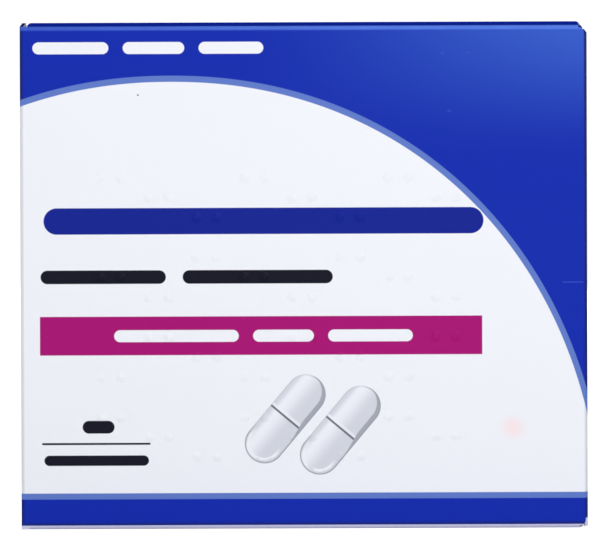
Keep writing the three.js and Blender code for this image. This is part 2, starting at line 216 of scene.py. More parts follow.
class Sheet:
    """A sheet's middle surface, built from patches whose shared vertices merge."""

    def __init__(self):
        self.vertices = []
        self.faces = []
        self.known = {}

    def vertex(self, point):
        key = tuple(round(c * GRID) for c in point)
        if key not in self.known:
            self.known[key] = len(self.vertices)
            self.vertices.append(point)
        return self.known[key]

    def patch(self, rows):
        numbers = [[self.vertex(point) for point in row] for row in rows]
        for upper, lower in zip(numbers, numbers[1:]):
            for i in range(len(upper) - 1):
                corners = [upper[i], upper[i + 1], lower[i + 1], lower[i]]
                face = list(dict.fromkeys(corners))
                if len(face) > 2:
                    self.faces.append(face)

    def board(self, name, materials):
        """The sheet made as thick as the board: printed outside, bare inside, cut edges all round."""
        made = new_object(name, self.vertices, self.faces, materials)
        face_out(made.data, MIDDLE)
        thick = made.modifiers.new("board", "SOLIDIFY")
        thick.thickness = BOARD
        thick.offset = 0
        thick.use_even_offset = True
        thick.material_offset = INSIDE_SLOT
        thick.material_offset_rim = CUT_SLOT
        apply_modifiers(made)
        for polygon in made.data.polygons:
            polygon.use_smooth = polygon.material_index != CUT_SLOT
        made.data.set_sharp_from_angle(angle=SHARP)
        return made


# Shaders

class Value:
    """One socket in a node tree, so that a material's sums read as plain arithmetic."""

    def __init__(self, tree, socket):
        self.tree = tree
        self.socket = socket

    def math(self, operation, *others):
        node = self.tree.nodes.new("ShaderNodeMath")
        node.operation = operation
        for number, other in enumerate((self, *others)):
            if isinstance(other, Value):
                self.tree.links.new(other.socket, node.inputs[number])
            else:
                node.inputs[number].default_value = other
        return Value(self.tree, node.outputs[0])

    def __add__(self, other):
        return self.math("ADD", other)

    def __sub__(self, other):
        return self.math("SUBTRACT", other)

    def __mul__(self, other):
        return self.math("MULTIPLY", other)

    def __truediv__(self, other):
        return self.math("DIVIDE", other)

    def abs(self):
        return self.math("ABSOLUTE")

    def power(self, other):
        return self.math("POWER", other)

    def smaller(self, other):
        return self.math("MINIMUM", other)

    def larger(self, other):
        return self.math("MAXIMUM", other)

    def step(self, low, high):
        """0 at low, 1 at high, with a smooth turn between them."""
        node = self.tree.nodes.new("ShaderNodeMapRange")
        node.interpolation_type = "SMOOTHSTEP"
        self.tree.links.new(self.socket, node.inputs["Value"])
        node.inputs["From Min"].default_value = low
        node.inputs["From Max"].default_value = high
        return Value(self.tree, node.outputs["Result"])


def srgb(red, green, blue):
    """A colour as it shows on a screen, 0 to 255, as linear light."""
    def linear(level):
        share = level / 255
        return share / 12.92 if share <= 0.04045 else ((share + 0.055) / 1.055) ** 2.4
    return (linear(red), linear(green), linear(blue), 1.0)


# The sockets of a Mix node that mixes colours
MIX_SHARE, MIX_BELOW, MIX_ABOVE, MIX_RESULT = 0, 6, 7, 2


class Surface:
    """A material with a Principled shader and the few sockets that the finishes need."""

    def __init__(self, name, roughness, specular=0.5):
        self.material = bpy.data.materials.new(name)
        self.material.use_nodes = True
        self.tree = self.material.node_tree
        self.shader = self.tree.nodes["Principled BSDF"]
        self.shader.inputs["Roughness"].default_value = roughness
        self.shader.inputs["Specular IOR Level"].default_value = specular
        place = self.tree.nodes.new("ShaderNodeTexCoord")
        self.place = place.outputs["Object"]
        axes = self.tree.nodes.new("ShaderNodeSeparateXYZ")
        self.tree.links.new(self.place, axes.inputs[0])
        self.x, self.y, self.z = (Value(self.tree, out) / MM for out in axes.outputs)

    def noise(self, scale, detail, stretch=(1, 1, 1)):
        """Noise with a given number of blotches to the metre."""
        mapping = self.tree.nodes.new("ShaderNodeMapping")
        mapping.inputs["Scale"].default_value = stretch
        self.tree.links.new(self.place, mapping.inputs["Vector"])
        node = self.tree.nodes.new("ShaderNodeTexNoise")
        node.inputs["Scale"].default_value = scale
        node.inputs["Detail"].default_value = detail
        self.tree.links.new(mapping.outputs[0], node.inputs["Vector"])
        return Value(self.tree, node.outputs["Fac"])

    def mix(self, below, above, share):
        """Lays one colour over another where share is 1. A colour is a socket or four numbers."""
        node = self.tree.nodes.new("ShaderNodeMix")
        node.data_type = "RGBA"
        for number, value in ((MIX_BELOW, below), (MIX_ABOVE, above)):
            if isinstance(value, tuple):
                node.inputs[number].default_value = value
            else:
                self.tree.links.new(value, node.inputs[number])
        self.tree.links.new(share.socket, node.inputs[MIX_SHARE])
        return node.outputs[MIX_RESULT]

    def set(self, name, value):
        socket = value.socket if isinstance(value, Value) else value
        self.tree.links.new(socket, self.shader.inputs[name])

    def bump(self, height, distance):
        node = self.tree.nodes.new("ShaderNodeBump")
        node.inputs["Distance"].default_value = distance
        self.tree.links.new(height.socket, node.inputs["Height"])
        self.tree.links.new(node.outputs[0], self.shader.inputs["Normal"])


# The print: fields of colour and plain shapes, in millimetres on the panel, with painted shade, a painted
# sheen and a painted highlight laid over it

EDGE_BLUR = 0.05

BLUE = srgb(17, 44, 172)
SHEEN_BLUE = srgb(56, 96, 202)
CREASE_SHADE_BLUE = srgb(26, 36, 94)
LINE_BLUE = srgb(97, 124, 200)
PANEL_WHITE = srgb(242, 244, 251)
CREASE_SHADE_WHITE = srgb(206, 208, 212)
FOLD_WHITE = srgb(208, 208, 234)
FOLD_HIGHLIGHT_BLUE = srgb(92, 132, 240)
SHADED_EDGE_BLUE = srgb(26, 44, 112)
SHADED_EDGE_LINE = srgb(110, 122, 170)
MAGENTA = srgb(168, 20, 116)
BAR_BLUE = srgb(20, 37, 145)
INK = srgb(20, 20, 35)
CAPLET_LIGHT = srgb(240, 242, 250)
CAPLET_SHADE = srgb(213, 216, 226)
CAPLET_WALL = srgb(166, 169, 180)
CAPLET_LINE = srgb(158, 161, 172)
SCORE_INK = srgb(112, 114, 124)
SMUDGE_PINK = srgb(250, 232, 235)
SPECK = srgb(136, 142, 170)
SCRATCH = srgb(62, 90, 200)

ARCH_MIDDLE = (-16.7, -1.6)
ARCH_REACH = (53.85, 57.65)
ARCH_POWER = 2.11
ARCH_LINE = 0.75

BOTTOM_BAND = 3.75
BOTTOM_LINE = 4.5
BOTTOM_BARE = 0.42
LID_BARE = 0.75

# How far in from the carton's sides and from its front and back a point is on a lid's outer face
LID_SIDE = (0.6, 0.4)
LID_FACE = (0.45, 0.55)

# How far behind the front's plane its own print ends
FRONT_SKIN = (0.6, 0.5)

# Painted shade on the carton's front side edges and along the front's foot, where the folds turn from the
# light: where each begins and is full, and how dark
SHADE_WIDTH = 0.5
SHADE_DEPTH = 1.7
SHADE_FULL_DEPTH = SHADE_DEPTH * 0.6
BOTTOM_SHADE = 0.95
BOTTOM_SHADE_FULL = BOTTOM_SHADE * 0.65
BOTTOM_SHADE_SHARE = 0.85
SHADE_ON_INK = 0.8
SHADE_ON_WHITE = 0.7

# Painted sheen: the ink is painted paler upwards and to the right, where the gloss shows a highlight
SHEEN_UP = (46, 66)
SHEEN_RIGHT = (-10, 42)

# Painted highlight along the front's top fold, in patches, stronger to the right
HIGHLIGHT_REACH = 0.65
HIGHLIGHT_FULL = 0.25
HIGHLIGHT_RIGHT = (-45, 15)
HIGHLIGHT_LEAST = 0.5
HIGHLIGHT_BASE = 0.7
HIGHLIGHT_PATCHES = 0.4
HIGHLIGHT_STRETCH = (0.3, 1, 1)

MAGENTA_BAND = (-33.1, 22.3, 21.8, 26.65)

# Plain round-ended bars on the front, each as its left, right, middle height and thickness
WIDE_BARS = [(-32.6, 22.5, 38.6, 3.3)]
MIDDLE_BARS = [(-33.0, -17.3, 31.6, 1.7), (-15.2, 3.6, 31.6, 1.7)]
BAND_BARS = [(-23.8, -8.2, 24.2, 1.5), (-6.4, 1.2, 24.2, 1.5), (3.0, 13.6, 24.2, 1.5)]
TOP_BARS = [(-33.9, -24.4, 60.3, 1.5), (-22.6, -14.9, 60.3, 1.5), (-13.1, -5.0, 60.3, 1.5)]
CORNER_BARS = [(-27.8, -23.8, 12.8, 1.6), (-32.6, -19.5, 8.6, 1.3)]
CORNER_RULE = (-32.9, -19.3, 10.7, 0.25)

# Marks of use, the fine ones given as the bars are
SMUDGE = (26.1, 12.6)
SMUDGE_REACH = 2.2
SPECKS = [(-20.85, -20.6, 54.4, 0.22)]
SCRATCHES = [
    (32.4, 35.0, 30.8, 0.12),
    (17.2, 17.7, 59.5, 0.16),
    (20.4, 20.9, 59.6, 0.16),
    (18.0, 18.5, 52.3, 0.16),
]
SCRATCH_SHARE = 0.7

# The printed tablets: their middles and their outline
CAPLETS = [(-2.55, 14.14), (4.35, 12.7)]
CAPLET_HALF = 4.0
CAPLET_RADIUS = 2.5
CAPLET_TURN = math.radians(50)
CAPLET_SHIFT = 0.35
CAPLET_LEAD = 0.2
CAPLET_WALL_THIN = 0.12
CAPLET_WALL_THICK = 0.6
CAPLET_OUTLINE = 0.2

# Where a printed tablet's tones begin and end, measured along it and across it
WALL_GROWS = (-2.5, 1.5)
LOWER_SHADE = (1.0, -1.3)
UPPER_SHADE = (1.1, 1.9)
SCORE_LINE = (0.17, 0.08)
SCORE_LIP = (0.12, 0.25)
SCORE_LIP_FADES = (0.6, 0.35)
SCORE_LIP_SHARE = 0.8
OUTLINE_SIDE = (1.2, -0.6)
OUTLINE_END = (-2.5, -4.5)
OUTLINE_LEAST = 0.15

# The glint at a printed tablet's end: in from the face's edge, along the tablet, and its breaks
GLINT_INNER = (-0.75, -0.5)
GLINT_OUTER = (-0.2, -0.4)
GLINT_ALONG = (-3.2, -4.6)
GLINT_BREAKS = (0.35, 0.5)


def bar(surface, left, right, middle, thickness):
    """1 inside a bar with rounded ends."""
    half = thickness / 2
    along = ((surface.x - (left + right) / 2).abs() - ((right - left) / 2 - half)).larger(0.0)
    across = surface.z - middle
    apart = (along * along + across * across).math("SQRT")
    return apart.step(half + EDGE_BLUR, half - EDGE_BLUR)


def bars(surface, places):
    whole = bar(surface, *places[0])
    for place in places[1:]:
        whole = whole.larger(bar(surface, *place))
    return whole


def rectangle(surface, left, right, low, high):
    across = (surface.x - (left + right) / 2).abs() - (right - left) / 2
    up = (surface.z - (low + high) / 2).abs() - (high - low) / 2
    return across.larger(up).step(EDGE_BLUR, -EDGE_BLUR)


def arch(surface):
    """Roughly how far outside the white field's arched edge a point lies, in millimetres."""
    across = ((surface.x - ARCH_MIDDLE[0]) / ARCH_REACH[0]).abs().power(ARCH_POWER)
    up = ((surface.z - ARCH_MIDDLE[1]) / ARCH_REACH[1]).abs().power(ARCH_POWER)
    return ((across + up).power(1 / ARCH_POWER) - 1.0) * sum(ARCH_REACH) / 2


def caplet(surface, colour, x, z, share):
    """One printed tablet: its side wall, its rounded face, its outline and its score line."""
    cos, sin = math.cos(CAPLET_TURN), math.sin(CAPLET_TURN)
    right, up = surface.x - x, surface.z - z
    along, across = right * cos + up * sin, up * cos - right * sin

    def stadium(over):
        beyond = ((along + CAPLET_LEAD).abs() - CAPLET_HALF).larger(0.0)
        return (beyond * beyond + over * over).math("SQRT") - CAPLET_RADIUS

    wall = along.step(*WALL_GROWS) * (CAPLET_WALL_THICK - CAPLET_WALL_THIN) + CAPLET_WALL_THIN
    inside = stadium(across + CAPLET_SHIFT)
    face = stadium(across + CAPLET_SHIFT - wall).larger(inside)
    body = inside.step(EDGE_BLUR, -EDGE_BLUR)
    top = face.step(EDGE_BLUR, -2 * EDGE_BLUR)

    toned = surface.mix(CAPLET_LIGHT, CAPLET_SHADE, across.step(*LOWER_SHADE))
    toned = surface.mix(toned, CAPLET_SHADE, across.step(*UPPER_SHADE))
    glint = face.step(*GLINT_INNER) * face.step(*GLINT_OUTER) * along.step(*GLINT_ALONG)
    breaks = surface.noise(scale=800, detail=1).step(*GLINT_BREAKS)
    toned = surface.mix(toned, PANEL_WHITE, glint * breaks)
    lip = along.step(*SCORE_LIP) * along.step(*SCORE_LIP_FADES)
    toned = surface.mix(toned, PANEL_WHITE, lip * SCORE_LIP_SHARE)
    toned = surface.mix(toned, SCORE_INK, along.abs().step(*SCORE_LINE))

    walled = surface.mix(CAPLET_WALL, toned, top)
    shaded = (across.step(*OUTLINE_SIDE) + along.step(*OUTLINE_END)).smaller(1.0)
    shaded = shaded * (1 - OUTLINE_LEAST) + OUTLINE_LEAST
    outline = inside.step(-CAPLET_OUTLINE, -CAPLET_OUTLINE / 2)
    walled = surface.mix(walled, CAPLET_LINE, outline * shaded)
    return surface.mix(colour, walled, body * share)


def fields(surface, bare, rim, ink):
    """The print's large fields, which wrap round the carton: a bare arch in solid ink, above a band of it."""
    side, face = HALF_WIDTH / MM, BACK / MM
    on_side = surface.x.abs().step(side - LID_SIDE[0], side - LID_SIDE[1])
    on_lid = on_side * surface.y.abs().step(face - LID_FACE[0], face - LID_FACE[1])
    outside = arch(surface)
    colour = surface.mix(bare, rim, outside.step(-EDGE_BLUR, EDGE_BLUR))
    colour = surface.mix(colour, ink, outside.step(ARCH_LINE - EDGE_BLUR, ARCH_LINE + EDGE_BLUR))
    colour = surface.mix(colour, rim, surface.z.step(BOTTOM_LINE + EDGE_BLUR, BOTTOM_LINE - EDGE_BLUR))
    colour = surface.mix(colour, ink, surface.z.step(BOTTOM_BAND + EDGE_BLUR, BOTTOM_BAND - EDGE_BLUR))
    above = surface.z - on_lid * LID_BARE
    return surface.mix(colour, FOLD_WHITE, above.step(BOTTOM_BARE + 2 * EDGE_BLUR, BOTTOM_BARE))


# The coated face's gloss varies in clouds, and fine fibres show through the coat
GLOSS_LEAST = 0.36
GLOSS_RANGE = 0.12
FIBRE_SHARE = 0.5
COAT_RELIEF = 0.006 * MM


def printed_board(name, specular):
    """Coated white board, printed outside: the fields are all round, the small shapes on its front; painted
    shade darkens its front side edges and foot, and a painted sheen and a painted highlight lighten its
    front.
    """
    surface = Surface(name, roughness=GLOSS_LEAST + GLOSS_RANGE / 2, specular=specular)
    top, side, face = HEIGHT / MM, HALF_WIDTH / MM, FRONT / MM
    front = surface.y.step(face + FRONT_SKIN[0], face + FRONT_SKIN[1])

    # Painted shade: ink and white are darkened along the front side edges and the foot, where the folds turn
    # from the light
    corner = surface.x.abs().step(side - SHADE_WIDTH, side - SHADE_WIDTH / 2)
    corner = corner * surface.y.step(face + SHADE_DEPTH, face + SHADE_FULL_DEPTH)
    crease_shade = corner.larger(surface.z.step(BOTTOM_SHADE, BOTTOM_SHADE_FULL) * BOTTOM_SHADE_SHARE)
    # Painted sheen: the front's ink is paler towards its top right
    painted_sheen = surface.z.step(*SHEEN_UP) * surface.x.step(*SHEEN_RIGHT) * front
    ink = surface.mix(surface.mix(BLUE, SHEEN_BLUE, painted_sheen), CREASE_SHADE_BLUE, crease_shade * SHADE_ON_INK)
    bare = surface.mix(PANEL_WHITE, CREASE_SHADE_WHITE, crease_shade * SHADE_ON_WHITE)
    colour = fields(surface, bare, LINE_BLUE, ink)

    # Painted highlight: paler blue in patches along the front's top fold
    fold_highlight = surface.z.step(top - HIGHLIGHT_REACH, top - HIGHLIGHT_FULL) * front
    fold_highlight = fold_highlight * (surface.x.step(*HIGHLIGHT_RIGHT) * (1 - HIGHLIGHT_LEAST) + HIGHLIGHT_LEAST)
    patches = surface.noise(scale=900, detail=2, stretch=HIGHLIGHT_STRETCH) * HIGHLIGHT_PATCHES + HIGHLIGHT_BASE
    colour = surface.mix(colour, FOLD_HIGHLIGHT_BLUE, fold_highlight * patches)
    colour = surface.mix(colour, SPECK, bars(surface, SPECKS) * front)
    colour = surface.mix(colour, SCRATCH, bars(surface, SCRATCHES) * front * SCRATCH_SHARE)
    apart = ((surface.x - SMUDGE[0]).power(2) + (surface.z - SMUDGE[1]).power(2)).math("SQRT")
    colour = surface.mix(colour, SMUDGE_PINK, apart.step(SMUDGE_REACH, 0) * front)
    colour = surface.mix(colour, MAGENTA, rectangle(surface, *MAGENTA_BAND) * front)
    colour = surface.mix(colour, BAR_BLUE, bars(surface, WIDE_BARS) * front)
    colour = surface.mix(colour, INK, bars(surface, MIDDLE_BARS + CORNER_BARS + [CORNER_RULE]) * front)
    colour = surface.mix(colour, PANEL_WHITE, bars(surface, BAND_BARS + TOP_BARS) * front)
    for x, z in CAPLETS:
        colour = caplet(surface, colour, x, z, front)
    surface.set("Base Color", colour)

    fibre = surface.noise(scale=2600, detail=3)
    orange_peel = surface.noise(scale=420, detail=2)
    surface.set("Roughness", surface.noise(scale=130, detail=4) * GLOSS_RANGE + GLOSS_LEAST)
    surface.bump(fibre * FIBRE_SHARE + orange_peel, COAT_RELIEF)
    return surface.material


BARE_LIGHT = srgb(222, 219, 210)
BARE_DARK = srgb(205, 200, 188)
FLECK = srgb(176, 168, 152)
FLECK_RANGE = (0.62, 0.75)
BARE_RELIEF = 0.02 * MM


def bare_board():
    """The inside of the carton: uncoated greyish-white board with flecks."""
    surface = Surface("bare_board", roughness=0.85, specular=0.2)
    flecks = surface.noise(scale=1400, detail=5).step(*FLECK_RANGE)
    cloud = surface.noise(scale=160, detail=3)
    surface.set("Base Color", surface.mix(surface.mix(BARE_LIGHT, BARE_DARK, cloud), FLECK, flecks))
    surface.bump(surface.noise(scale=2200, detail=4), BARE_RELIEF)
    return surface.material


PULP_LIGHT = srgb(232, 231, 236)
PULP_DARK = srgb(203, 200, 204)
CUT_RELIEF = 0.03 * MM


def cut_edge():
    """The board's cut edge: pale pulp with fine layers, stained where ink ran over the cut, that ink painted
    darker than the print as painted shade.
    """
    surface = Surface("cut_edge", roughness=0.9, specular=0.0)
    layers = surface.noise(scale=3000, detail=3)
    pulp = surface.mix(PULP_LIGHT, PULP_DARK, layers)
    # Painted shade: the ink on the cut edge is darker than the front's print
    surface.set("Base Color", fields(surface, pulp, SHADED_EDGE_LINE, SHADED_EDGE_BLUE))
    surface.bump(layers, CUT_RELIEF)
    return surface.material


PRINTED = printed_board("printed_board", specular=0.05)
PRINTED_TOP = printed_board("printed_top", specular=0.0)
BARE = bare_board()
CUT = cut_edge()
BOARD_MATERIALS = [PRINTED, BARE, CUT]


# The carton

def bow(x, z):
    """How far a large panel draws in at this place."""
    across = max(0.0, math.cos(math.pi * x / (2 * TUBE_END)))
    up = max(0.0, math.sin(math.pi * z / HEIGHT))
    return BOW * (across * up) ** BOW_FULLNESS


def bowed(x, y, z):
    flat = abs(abs(y) - (BACK - HALF_BOARD)) < SAME_PLACE
    return (x, y - math.copysign(bow(x, z), y), z) if flat else (x, y, z)


def quadrant_cut(distance, radius):
    """How far a corner's curve cuts back an edge, this far in from the corner."""
    inside = max(0.0, radius - distance)
    return radius - math.sqrt(max(0.0, radius * radius - inside * inside))


def stations(low, high, steps, marks):
    """Even steps from low to high, and the marks that lie between them, each once and in order."""
    places = sorted(spread(low, high, steps) + [mark for mark in marks if low < mark < high])
    return [here for here, after in zip(places, places[1:] + [math.inf]) if after - here > SAME_PLACE]


def corner_marks(edge, inward):
    """Places along an edge that follow its round corner."""
    turns = spread(0, QUARTER, ROUND_STEPS)
    return [edge + inward * EDGE_CORNER * (1 - math.cos(turn)) for turn in turns]


PANEL_LOW = HALF_BOARD + FOLD
PANEL_HIGH = HEIGHT - HALF_BOARD - FOLD
SEAM_HIGH = PANEL_HIGH - BOARD
TUCK_Y = FRONT + TUCK_SIDE_CUT
HINGE_Y = BACK - HINGE_SIDE_CUT
TOP_SLOPE = 0.95
UPRIGHT_MARKS = corner_marks(EDGE_RELIEF, 1) + corner_marks(HEIGHT - EDGE_RELIEF, -1)
LEVEL_MARKS = [
    way * place
    for way in (1, -1)
    for place in (TUCK_Y, TUCK_Y + FLAP_CHAMFER / 2, HINGE_Y, HINGE_Y - FLAP_CHAMFER / 2)
]


def between(places, low, high):
    return [place for place in places if low - SAME_PLACE < place < high + SAME_PLACE]


def front_heights():
    return stations(PANEL_LOW, PANEL_HIGH, HEIGHT_STEPS, UPRIGHT_MARKS)


def back_heights():
    return stations(PANEL_LOW, SEAM_HIGH, HEIGHT_STEPS, UPRIGHT_MARKS)


def panel_depths(low, high):
    return stations(low, high, DEPTH_STEPS, LEVEL_MARKS)


def sleeve_line():
    """The tube's section through the board's middle, in Y and Z, from the seam round to the glue flap."""
    y, low, high = BACK - HALF_BOARD, HALF_BOARD, HEIGHT - HALF_BOARD
    under = high - BOARD
    return chain(
        [(depth, high) for depth in reversed(panel_depths(FOLD - y, BACK - SEAM_SETBACK))],
        arc((-y + FOLD, high - FOLD), FOLD, QUARTER, 2 * QUARTER, ROUND_STEPS),
        [(-y, z) for z in reversed(front_heights())],
        arc((-y + FOLD, low + FOLD), FOLD, 2 * QUARTER, 3 * QUARTER, ROUND_STEPS),
        [(depth, low) for depth in panel_depths(FOLD - y, y - FOLD)],
        arc((y - FOLD, low + FOLD), FOLD, -QUARTER, 0, ROUND_STEPS),
        [(y, z) for z in back_heights()],
        arc((y - FOLD, under - FOLD), FOLD, 0, QUARTER, ROUND_STEPS),
        line((y - FOLD, under), (y - GLUE_FLAP, under), ROUND_STEPS),
    )


def tube(sheet):
    y = BACK - HALF_BOARD
    under = HEIGHT - HALF_BOARD - BOARD
    rows = []
    for across, up in sleeve_line():
        reach = TUBE_END
        if abs(up - under) < SAME_PLACE and across < y - FOLD:
            reach -= GLUE_BEVEL * (y - FOLD - across) / GLUE_FLAP
        rows.append([bowed(x, across, up) for x in spread(-reach, reach, LENGTH_STEPS, END_CROWD)])
    sheet.patch(rows)


def edge_heights(heights):
    """The free edge is cut along the folds' scores, so it stands taller than the flat panel."""
    return sorted(heights + [z for z in UPRIGHT_MARKS if not heights[0] <= z <= heights[-1]])


def free_edge(sheet, end):
    """The panel with the free edge runs on past the dust flaps to a round-cornered edge."""
    y = end * (FRONT + HALF_BOARD)
    heights = edge_heights(front_heights() if end > 0 else back_heights())
    rows = []
    for z in heights:
        corner = min(z - heights[0], heights[-1] - z)
        reach = FREE_EDGE - quadrant_cut(corner, EDGE_CORNER)
        rows.append([(end * x, y, z) for x in spread(TUBE_END, reach, EDGE_STEPS)])
    sheet.patch(rows)


def lid_ends(end):
    """The left lid is as tall as its panel; the right one has sunk a little at its top."""
    return (lid_low.z, lid_high.z - LID_SINK) if end > 0 else (0.0, HEIGHT)


def hinge_edge(sheet, end):
    """The panel that carries the lid runs on to the lid's fold."""
    y = end * (BACK - HALF_BOARD)
    reach = hinge.x - HALF_BOARD - HINGE_GAP
    low, high = lid_ends(end)
    heights = stations(low, high, 1, back_heights() if end > 0 else front_heights())
    sheet.patch([[(end * x, y, z) for x in spread(TUBE_END, reach, HINGE_EDGE_STEPS)] for z in heights])


def dust_flap(sheet, end, side):
    """A flap folds in from the top or the bottom panel and lies just under the lid."""
    y = BACK - HALF_BOARD
    panel = HALF_BOARD if side < 0 else HEIGHT - HALF_BOARD
    depths = panel_depths(FOLD - y, y - FOLD) if side < 0 else panel_depths(FOLD - y, BACK - SEAM_SETBACK)
    low, high = sorted((end * TUCK_Y, end * HINGE_Y))
    rows = []
    for depth in between(depths, low, high):
        chamfer = max(0.0, FLAP_CHAMFER - 2 * min(depth - low, high - depth))
        turns = spread(0, QUARTER, FLAP_FOLD_STEPS)
        fold = [(TUBE_END + FOLD * math.sin(turn), FOLD * (1 - math.cos(turn))) for turn in turns]
        flat = line((FLAP_PLANE, FOLD), (FLAP_PLANE, FLAP_LENGTH - chamfer), FLAP_STEPS)
        rows.append([(end * x, depth, panel - side * below) for x, below in chain(fold, flat)])
    sheet.patch(rows)


def make_carton():
    sheet = Sheet()
    tube(sheet)
    for end in (1, -1):
        free_edge(sheet, end)
        hinge_edge(sheet, end)
        for side in (1, -1):
            dust_flap(sheet, end, side)
    carton = sheet.board("carton_board", [*BOARD_MATERIALS, PRINTED_TOP])
    for polygon in carton.data.polygons:
        if polygon.material_index == PRINT_SLOT and polygon.normal.z > TOP_SLOPE:
            polygon.material_index = TOP_SLOT
    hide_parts("carton")
    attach(carton, "pack")


make_carton()


# The lids

def lid_line():
    """The lid's section through the board's middle, in X and Y: the end panel, its fold and the tuck."""
    radius = hinge.y - lid_low.y - HALF_BOARD
    bend = TUCK_FOLD - HALF_BOARD
    turn = -math.asin(bend / (radius - bend))
    fold_y = hinge.y - math.sqrt((radius - bend) ** 2 - bend ** 2)
    reach = hinge.x - lid_low.x
    tip = math.asin(reach / radius)
    return chain(
        line((hinge.x, hinge.y), (hinge.x, fold_y), LID_STEPS),
        arc((hinge.x - bend, fold_y), bend, 0, turn - QUARTER, ROUND_STEPS),
        arc((hinge.x, hinge.y), radius, turn - QUARTER, -QUARTER - tip, TUCK_STEPS),
    )


def make_lid(name, end):
    """Each lid is a sheet as wide as its end, and its tuck is set in and round-cornered."""
    tuck_top = hinge.x - HALF_BOARD
    low, high = lid_ends(end)
    rows = []
    for x, y in lid_line():
        inset = 0.0
        if x < tuck_top:
            inset = min(TUCK_SHOULDER + tuck_top - x, TUCK_INSET)
            inset += quadrant_cut(max(0.0, x - lid_low.x), TUCK_CORNER)
        heights = spread(low + inset, high - inset, LID_HEIGHT_STEPS, END_CROWD)
        rows.append([(end * x, end * y, z) for z in heights])
    sheet = Sheet()
    sheet.patch(rows)
    lid = sheet.board(name + "_board", BOARD_MATERIALS)
    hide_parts(name)
    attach(lid, name)


def make_hinge_fold(name, end):
    """The scored bend between the panel and the lid."""
    inner, outer = HINGE_SCORE, HALF_BOARD
    panel_edge = hinge.x - HALF_BOARD - HINGE_GAP
    middle = (hinge.x, hinge.y)
    outside = chain([(panel_edge, hinge.y + outer)], arc(middle, outer, QUARTER, 0, BEND_STEPS))
    inside = chain([(panel_edge, hinge.y + inner)], arc(middle, inner, QUARTER, 0, BEND_STEPS))
    section = outside + inside[::-1]
    heights = spread(*lid_ends(end), BEND_HEIGHT_STEPS)
    count = len(section)
    vertices = [(end * x, end * y, z) for z in heights for x, y in section]
    rows = [row * count for row in range(len(heights))]
    faces = []
    for low, high in zip(rows, rows[1:]):
        for i in range(count):
            after = (i + 1) % count
            faces.append((low + i, low + after, high + after, high + i))
    faces += [tuple(range(count)), tuple(range(rows[-1], rows[-1] + count))]
    bend = new_object(name + "_fold", vertices, faces, [PRINTED])
    settle(bend, SHARP)
    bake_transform(bend)


make_lid("right_lid", 1)
make_lid("left_lid", -1)
make_hinge_fold("right_lid", 1)
make_hinge_fold("left_lid", -1)


# The raised reading dots

DOT_RADIUS = 0.8 * MM
DOT_HEIGHT = 0.2 * MM
DOT_SINK = 0.01 * MM
DOT_PITCH = 2.5 * MM
CELL_PITCH = 6 * MM
LINE_PITCH = 10 * MM
CELLS = 8
LINES = 4
CELL_ROWS = 3
CELL_COLUMNS = 2
FIRST_DOT = (-HALF_WIDTH + 10 * MM, 44 * MM)


def dome(x, z, vertices, faces):
    """One dot pressed out of the board, level with it at its rim."""
    first = len(vertices)
    base = FRONT + bow(x, z)
    vertices.append((x, base - DOT_HEIGHT, z))
    for ring in range(1, DOT_RINGS + 1):
        share = ring / DOT_RINGS
        rise = DOT_HEIGHT * (1 + math.cos(math.pi * share)) / 2 - DOT_SINK * share
        for segment in range(DOT_SEGMENTS):
            turn = 2 * math.pi * segment / DOT_SEGMENTS
            reach = DOT_RADIUS * share
            vertices.append((x + reach * math.cos(turn), base - rise, z + reach * math.sin(turn)))
    for segment in range(DOT_SEGMENTS):
        after = (segment + 1) % DOT_SEGMENTS
        faces.append((first, first + 1 + segment, first + 1 + after))
        for ring in range(DOT_RINGS - 1):
            inner = first + 1 + ring * DOT_SEGMENTS
            outer = inner + DOT_SEGMENTS
            faces.append((inner + segment, outer + segment, outer + after, inner + after))
    rim = first + 1 + (DOT_RINGS - 1) * DOT_SEGMENTS
    faces.append(tuple(rim + segment for segment in reversed(range(DOT_SEGMENTS))))


def make_reading_dots():
    """One row of dots in each cell, at a height that steps on from cell to cell."""
    vertices, faces = [], []
    for line_number in range(LINES):
        for cell in range(CELLS):
            row = (cell + line_number) % CELL_ROWS
            for column in range(CELL_COLUMNS):
                x = FIRST_DOT[0] + cell * CELL_PITCH + column * DOT_PITCH
                z = FIRST_DOT[1] - line_number * LINE_PITCH - row * DOT_PITCH
                dome(x, z, vertices, faces)
    dots = new_object("reading_dots", vertices, faces, [PRINTED])
    dots.data.set_sharp_from_angle(angle=SHARP)
    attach(dots, "pack")


make_reading_dots()


# The blister strips and the leaflet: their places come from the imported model

FILM = 0.3 * MM
FLANGE_CORNER = 3 * MM
POCKET_GAP = 0.15 * MM
POCKET_DRAFT = 0.5 * MM
POCKET_FILLET = 0.4 * MM
POCKET_ROUNDING = 1.3 * MM
POCKET_SPINE = 0.01 * MM
TABLET_BAND = 2.4 * MM
TABLET_MARKS = [mark * MM for mark in (-3, -1.5, 0, 1.5, 3)]
SCORE_HALF = 0.45 * MM
SCORE_DEPTH = 0.45 * MM
SCORE_RISE = 6


def stadium_ring(half_width, half_length, marks=()):
    """A closed ring in X and Z with round ends, and extra points on its straight sides."""
    straight = half_length - half_width
    ends = [
        (half_width * math.cos(turn), straight + half_width * math.sin(turn))
        for turn in spread(0, math.pi, STADIUM_STEPS)
    ]
    side = [(-half_width, mark) for mark in sorted(marks, reverse=True)]
    half = ends + side
    return half + [(-x, -z) for x, z in half] + [half[0]]


def tablet_profile(half_thick):
    """Pairs of inset and height over the tablet's face, from its straight band to its ridge."""
    rise = half_thick - TABLET_BAND / 2
    turns = spread(0, QUARTER, ROUND_STEPS)
    return [(1 - math.cos(turn), TABLET_BAND / 2 + rise * math.sin(turn)) for turn in turns]


